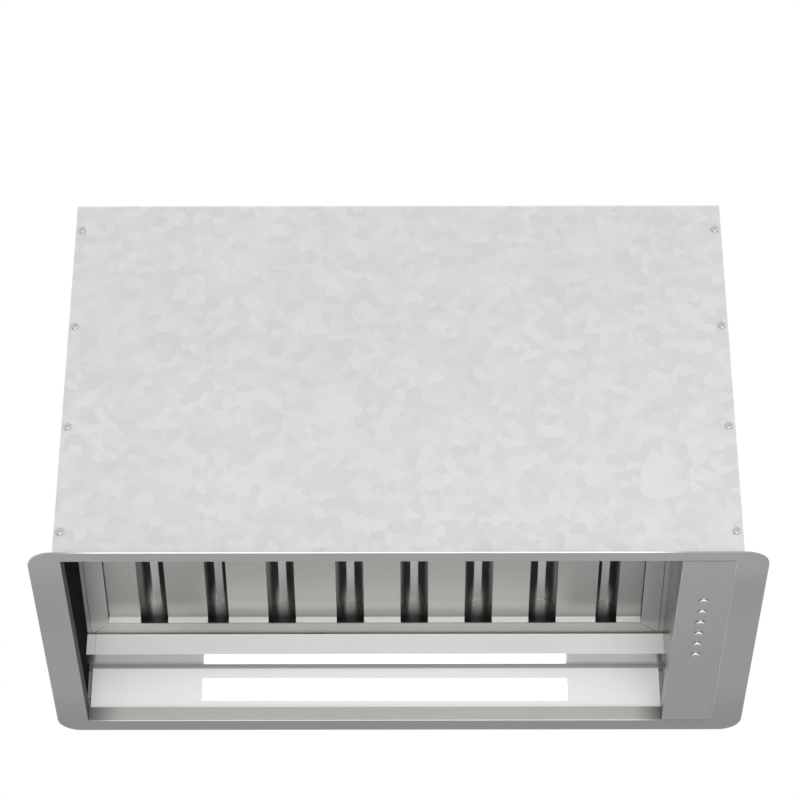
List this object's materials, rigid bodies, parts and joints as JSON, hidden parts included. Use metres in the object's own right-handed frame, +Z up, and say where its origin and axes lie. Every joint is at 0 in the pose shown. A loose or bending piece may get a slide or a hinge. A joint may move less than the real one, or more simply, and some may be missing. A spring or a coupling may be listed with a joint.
{
  "type": "range hood insert",
  "caption": "Flanged cupboard hood insert with a sloping baffle filter, a lamp panel at the rear, a side control plate and a round duct collar on top.",
  "frame": {"origin": "middle of the flange, in the plane of its upper face, which bears against the underside of the cupboard board", "axes": "+X to the right along the front, -Y to the front, +Z up"},
  "size_m": [0.566, 0.28, 0.3926],
  "materials": {
    "brushed_steel": "brushed stainless sheet, satin",
    "satin_steel": "bright satin stainless sheet",
    "filter_steel": "satin stainless sheet",
    "black_coat": "matt black powder coat",
    "galvanised": "zinc-coated sheet",
    "steel_wire": "polished steel",
    "button_metal": "bright metal caps",
    "opal": "opal diffusing plastic",
    "board": "glass-fibre circuit board",
    "switch_plastic": "moulded black plastic",
    "grey_plastic": "moulded grey plastic",
    "scroll_plastic": "moulded dark grey plastic",
    "fastener": "zinc-plated steel",
    "motor_aluminium": "cast aluminium",
    "rubber": "soft black rubber",
    "magnet": "dark ferrite"
  },
  "bodies": {
    "housing": {"blower_hangers": "galvanised", "board_posts": "grey_plastic", "bracket_screws": "fastener", "button_board": "board", "cable_gland": "switch_plastic", "capacitor": "grey_plastic", "catch_magnets": "magnet", "collar_screws": "fastener", "control_box": "satin_steel", "control_plate": "brushed_steel", "damper_rod": "steel_wire", "filter_stop": "galvanised", "fixing_bracket_left": "galvanised", "fixing_bracket_right": "galvanised", "flange_frame": "brushed_steel", "housing_back": "galvanised", "housing_front": "galvanised", "housing_left": "galvanised", "housing_right": "galvanised", "housing_rivets": "fastener", "housing_top": "galvanised", "inlet_rings": "scroll_plastic", "lamp_panel": "satin_steel", "lamp_rail": "satin_steel", "led_board": "board", "led_diffuser": "opal", "led_driver": "grey_plastic", "motor": "motor_aluminium", "motor_bearing": "steel_wire", "motor_bracket": "galvanised", "motor_screws": "fastener", "outlet_collar": "galvanised", "outlet_duct": "galvanised", "power_board": "board", "rail_cap": "satin_steel", "recess_liner": "black_coat", "rubber_mounts": "rubber", "scroll_left": "scroll_plastic", "scroll_right": "scroll_plastic", "side_guides": "filter_steel", "switches": "switch_plastic", "terminal_box": "grey_plastic", "terminal_lid": "grey_plastic"},
    "filter": {"filter_frame": "filter_steel", "lower_baffles": "filter_steel", "upper_baffles": "filter_steel", "filter_pins": "steel_wire", "ring_lugs": "filter_steel"},
    "pull_ring_left": {"pull_ring_left": "steel_wire"},
    "pull_ring_right": {"pull_ring_right": "steel_wire"},
    "impeller": {"impeller": "galvanised", "motor_shaft": "steel_wire"},
    "damper_left": {"damper_flap_left": "galvanised"},
    "damper_right": {"damper_flap_right": "galvanised"},
    "button_power": {"button_power": "button_metal"},
    "button_slower": {"button_slower": "button_metal"},
    "button_faster": {"button_faster": "button_metal"},
    "button_boost": {"button_boost": "button_metal"},
    "button_timer": {"button_timer": "button_metal"},
    "button_light": {"button_light": "button_metal"}
  },
  "joints": [
    {"name": "filter_hinge", "type": "hinge", "parent": "housing", "child": "filter", "pos_m": [-0.02025, 0.09655, 0.07515], "axis": [1, 0, 0], "range_deg": [0, 75]},
    {"name": "pull_ring_left_swing", "type": "hinge", "parent": "filter", "child": "pull_ring_left", "pos_m": [-0.17025, -0.11744, 0.09417], "axis": [1, 0, 0], "range_deg": [-10, 80]},
    {"name": "pull_ring_right_swing", "type": "hinge", "parent": "filter", "child": "pull_ring_right", "pos_m": [0.12975, -0.11744, 0.09417], "axis": [1, 0, 0], "range_deg": [-10, 80]},
    {"name": "impeller_spin", "type": "hinge", "parent": "housing", "child": "impeller", "pos_m": [0, -0.009, 0.242], "axis": [1, 0, 0], "continuous": true},
    {"name": "damper_left_swing", "type": "hinge", "parent": "housing", "child": "damper_left", "pos_m": [0, 0.041, 0.36], "axis": [0, 1, 0], "range_deg": [0, 80]},
    {"name": "damper_right_swing", "type": "hinge", "parent": "housing", "child": "damper_right", "pos_m": [0, 0.041, 0.36], "axis": [0, -1, 0], "range_deg": [0, 80]},
    {"name": "button_power_press", "type": "slide", "parent": "housing", "child": "button_power", "axis": [0, 0, 1], "range_m": [0, 0.0015], "stiffness_N_per_m": 600},
    {"name": "button_slower_press", "type": "slide", "parent": "housing", "child": "button_slower", "axis": [0, 0, 1], "range_m": [0, 0.0015], "stiffness_N_per_m": 600},
    {"name": "button_faster_press", "type": "slide", "parent": "housing", "child": "button_faster", "axis": [0, 0, 1], "range_m": [0, 0.0015], "stiffness_N_per_m": 600},
    {"name": "button_boost_press", "type": "slide", "parent": "housing", "child": "button_boost", "axis": [0, 0, 1], "range_m": [0, 0.0015], "stiffness_N_per_m": 600},
    {"name": "button_timer_press", "type": "slide", "parent": "housing", "child": "button_timer", "axis": [0, 0, 1], "range_m": [0, 0.0015], "stiffness_N_per_m": 600},
    {"name": "button_light_press", "type": "slide", "parent": "housing", "child": "button_light", "axis": [0, 0, 1], "range_m": [0, 0.0015], "stiffness_N_per_m": 600}
  ]
}
